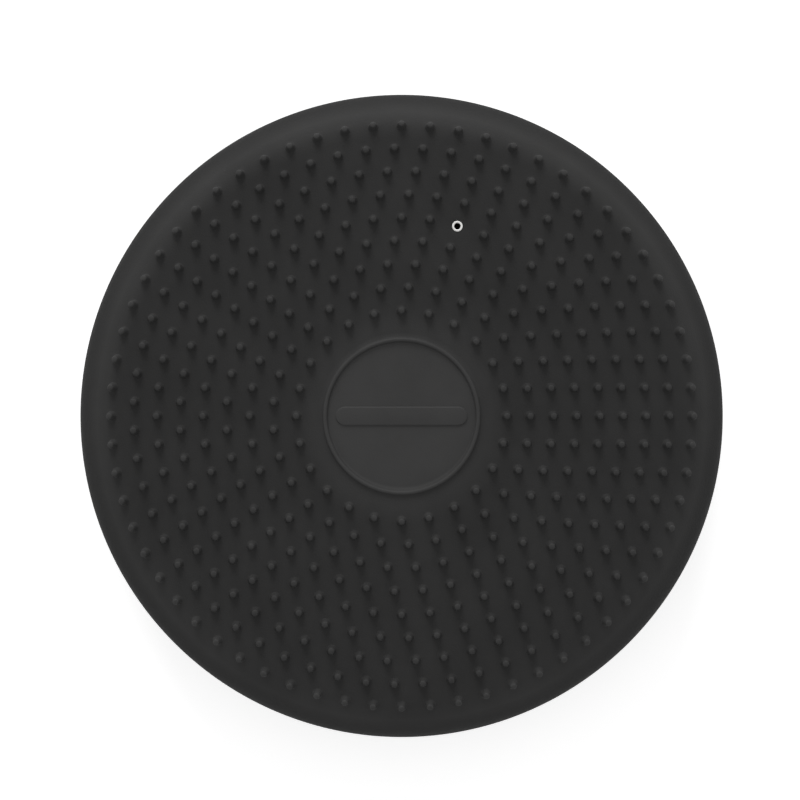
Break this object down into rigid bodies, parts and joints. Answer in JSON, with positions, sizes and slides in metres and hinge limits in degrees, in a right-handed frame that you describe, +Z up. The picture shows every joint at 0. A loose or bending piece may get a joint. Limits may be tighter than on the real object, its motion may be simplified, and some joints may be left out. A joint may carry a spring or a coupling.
{
  "type": "wobble cushion",
  "caption": "Round air-filled balance cushion with rings of blunt studs on the upper face, a smooth rounded edge, a ring round a plain middle, and a needle valve.",
  "frame": {"origin": "on the floor, under the middle of the disc, with the cushion resting on its foot", "axes": "+Z up along the disc's axis, out of the studded face; +X through the line of studs that every ring has"},
  "size_m": [0.3312, 0.3312, 0.063],
  "materials": {
    "skin": "matte, fine grain",
    "weld": "satin weld bead",
    "valve_white": "matte",
    "valve_black": "matte"
  },
  "bodies": {
    "base": {"smooth_face": "skin", "lower_wall": "skin"},
    "ring": {"weld_ring": "weld"},
    "top": {"studded_face": "skin", "upper_wall": "skin", "valve_housing": "valve_black", "valve_sleeve": "valve_white", "valve_core": "valve_black"}
  },
  "joints": [
    {"name": "tilt_about_x", "type": "hinge", "parent": "base", "child": "ring", "pos_m": [0, 0, 0.0306], "axis": [1, 0, 0], "range_deg": [-5, 5], "stiffness_Nm_per_rad": 170, "deforming": ["lower_wall"]},
    {"name": "tilt_about_y", "type": "hinge", "parent": "ring", "child": "top", "pos_m": [0, 0, 0.0306], "axis": [0, 1, 0], "range_deg": [-5, 5], "stiffness_Nm_per_rad": 170, "deforming": ["upper_wall"]}
  ]
}
